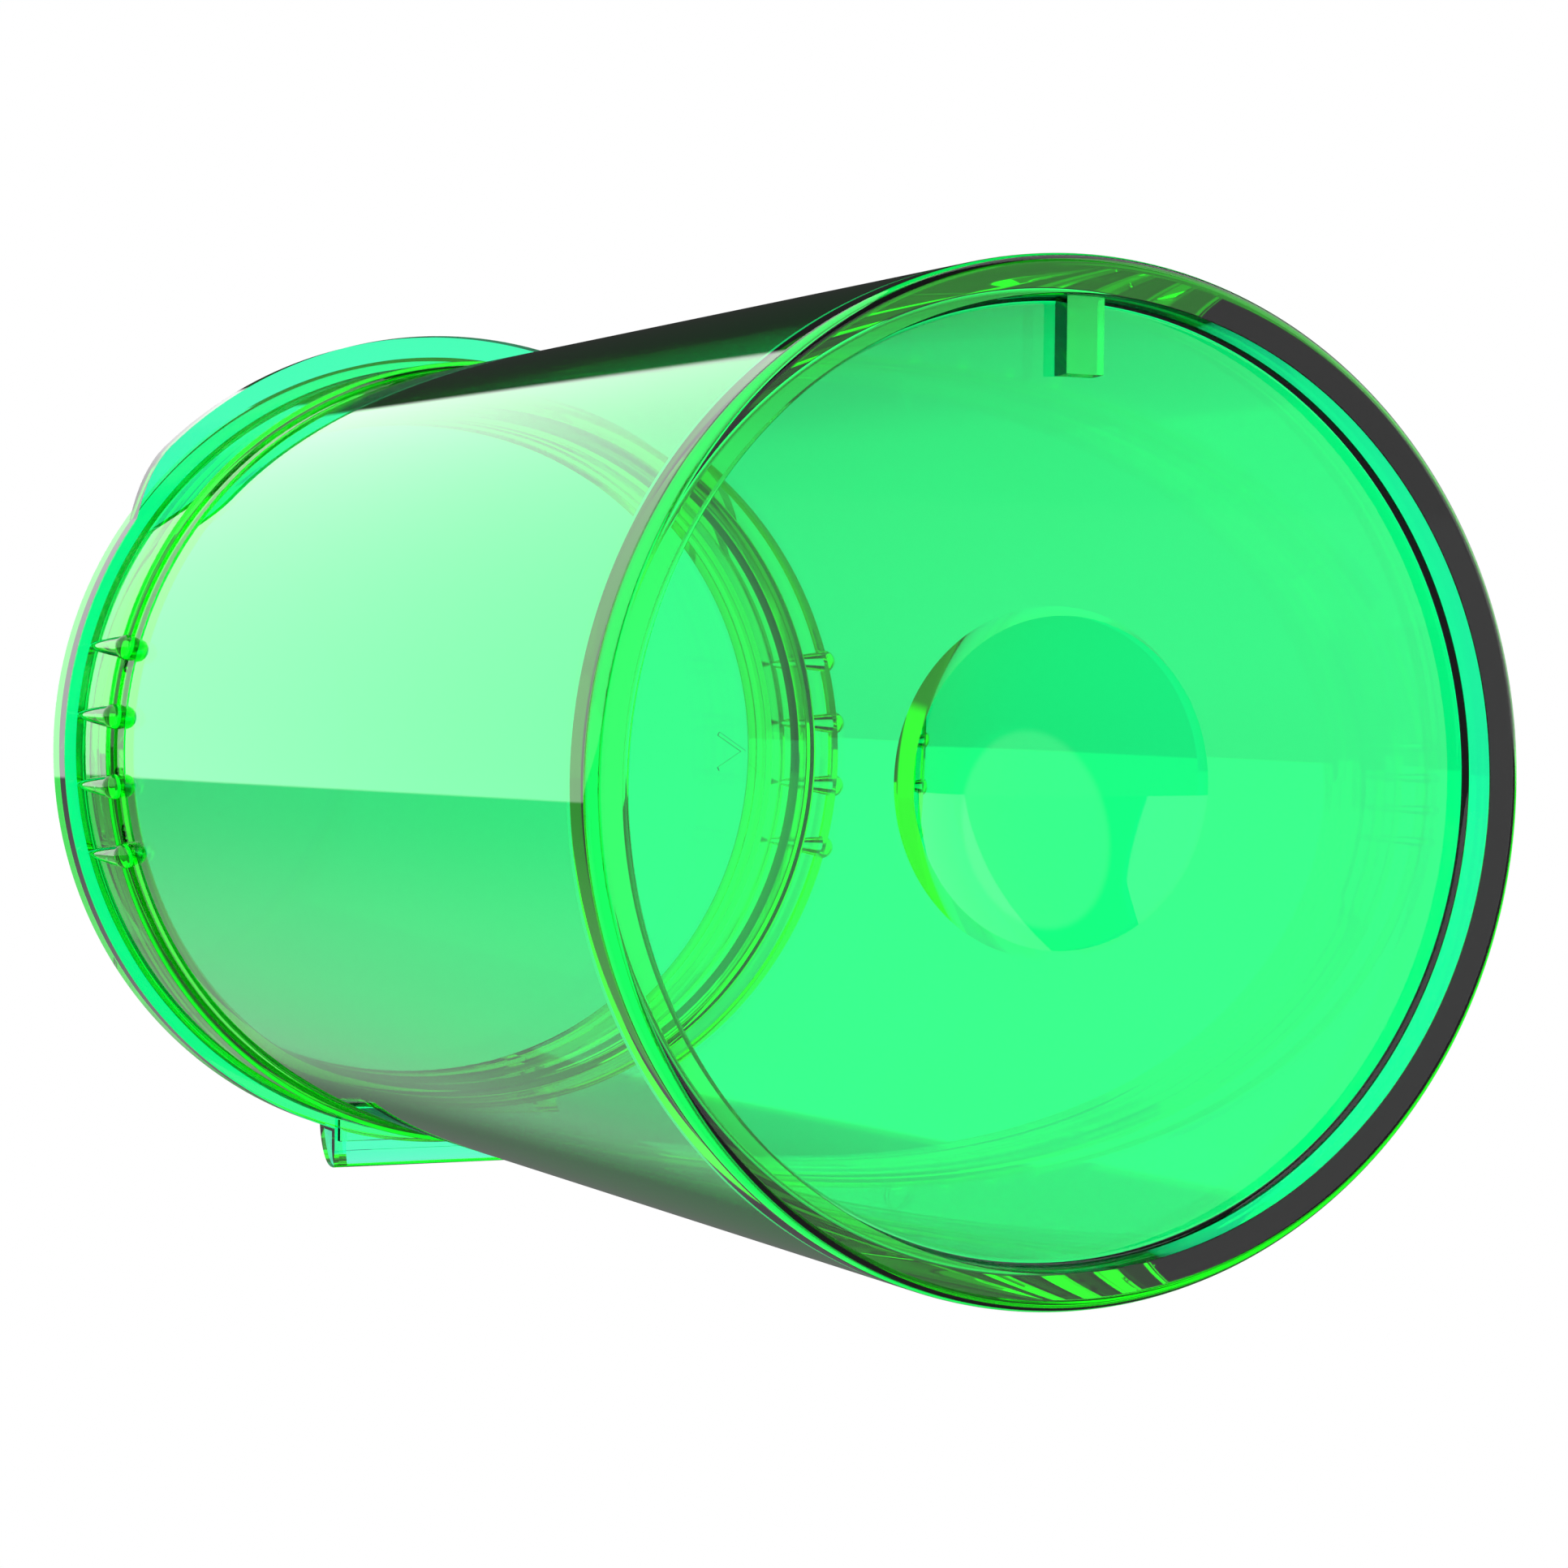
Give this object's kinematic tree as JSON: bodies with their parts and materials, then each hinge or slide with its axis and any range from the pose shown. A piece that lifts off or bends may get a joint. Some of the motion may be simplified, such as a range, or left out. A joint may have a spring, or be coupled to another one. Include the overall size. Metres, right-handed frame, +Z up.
{
  "type": "squeeze pop-top vial",
  "caption": "Clear green plastic vial with a plug lid on a living hinge, a thumb tab, squeeze ribs at the mouth and a recessed base with a foot ring and gate dimple.",
  "frame": {"origin": "centre of the foot ring, on the plane that the vial stands on", "axes": "+Z up along the tube's axis from the base to the lid; the thumb tab faces -Y, the hinge faces +Y and the squeeze ribs face -X and +X"},
  "size_m": [0.0424, 0.0446, 0.0725],
  "materials": {
    "vial_plastic": "clear, polished mould finish, tinted green",
    "lid_plastic": "clear, polished mould finish, tinted green",
    "hinge_plastic": "clear thin web of the same plastic"
  },
  "bodies": {
    "vial": {"vial_body": "vial_plastic", "foot_ring": "vial_plastic", "base_lug": "vial_plastic", "squeeze_rib_left_1": "vial_plastic", "squeeze_rib_left_2": "vial_plastic", "squeeze_rib_left_3": "vial_plastic", "squeeze_rib_left_4": "vial_plastic", "squeeze_rib_right_1": "vial_plastic", "squeeze_rib_right_2": "vial_plastic", "squeeze_rib_right_3": "vial_plastic", "squeeze_rib_right_4": "vial_plastic", "living_hinge_web": "hinge_plastic"},
    "lid": {"lid_plate": "lid_plastic", "lid_rim": "lid_plastic", "plug_skirt": "lid_plastic", "thumb_tab": "lid_plastic", "hinge_bar": "lid_plastic"}
  },
  "joints": [
    {"name": "lid_hinge", "type": "hinge", "parent": "vial", "child": "lid", "pos_m": [0, 0.02173, 0.06948], "axis": [-1, 0, 0], "range_deg": [0, 125]}
  ]
}
